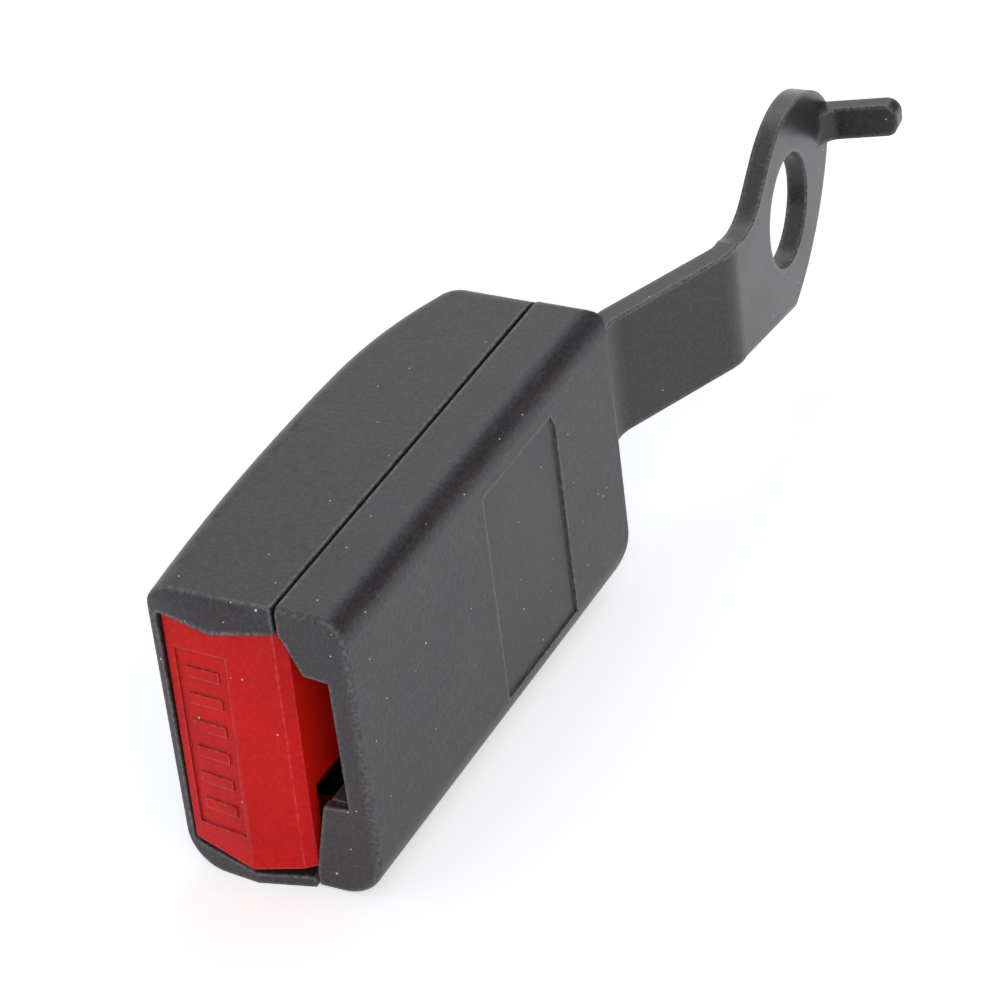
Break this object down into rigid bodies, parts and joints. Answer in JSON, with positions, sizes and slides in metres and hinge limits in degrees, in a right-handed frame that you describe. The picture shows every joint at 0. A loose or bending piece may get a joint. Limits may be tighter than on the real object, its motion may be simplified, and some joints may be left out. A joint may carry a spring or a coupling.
{
  "type": "seat belt buckle",
  "caption": "Press-button seat belt buckle: two-part plastic housing, red button, sprung latch and ejector in a steel frame, on a bent steel anchor strap with an eye and a hook.",
  "frame": {"origin": "centre of the tongue mouth, in the plane of the housing's front end", "axes": "+X points out of the tongue mouth along the housing, +Y from the button side to the slot side (the broad face with the pressed panel), +Z across the buckle, away from the narrow side it stands on"},
  "size_m": [0.1745, 0.0458, 0.05],
  "materials": {
    "housing_plastic": "fine-grained dark grey moulding",
    "button_plastic": "satin red moulding",
    "black_plastic": "dull black moulding",
    "foam": "closed-cell foam",
    "frame_steel": "zinc plated",
    "latch_steel": "hardened, zinc plated",
    "pin_steel": "bright",
    "spring_steel": "drawn wire",
    "strap_steel": "dark grey coated, satin"
  },
  "bodies": {
    "housing": {"button_side_cover": "housing_plastic", "slot_side_cover": "housing_plastic", "tongue_guide": "black_plastic", "strap_collar": "black_plastic", "frame_damper": "foam", "buckle_frame": "frame_steel", "latch_pivot_pin": "pin_steel", "pivot_washers": "pin_steel", "spring_bridge": "frame_steel", "rivet_backing": "frame_steel", "strap_rivets": "pin_steel", "anchor_strap": "strap_steel", "button_spring_upper": "spring_steel", "button_spring_lower": "spring_steel", "latch_spring": "spring_steel", "ejector_spring": "spring_steel"},
    "button": {"press_button": "button_plastic", "lock_bar": "pin_steel"},
    "latch": {"latch_plate": "latch_steel"},
    "ejector_slider": {"ejector": "black_plastic"}
  },
  "joints": [
    {"name": "button_press", "type": "slide", "parent": "housing", "child": "button", "axis": [-1, 0, 0], "range_m": [0, 0.006], "stiffness_N_per_m": 600, "springref_m": -0.01, "deforming": ["button_spring_upper", "button_spring_lower"]},
    {"name": "ejector_slide", "type": "slide", "parent": "housing", "child": "ejector_slider", "axis": [-1, 0, 0], "range_m": [0, 0.012], "stiffness_N_per_m": 400, "springref_m": -0.012, "deforming": ["ejector_spring"]},
    {"name": "latch_hinge", "type": "hinge", "parent": "housing", "child": "latch", "pos_m": [-0.052, -0.0077, 0], "axis": [0, 0, 1], "range_deg": [0, 8.5], "deforming": ["latch_spring"]}
  ],
  "couplings": [
    {"joint": "latch_hinge", "follows": "ejector_slide", "rad_per_m": 12.3}
  ]
}
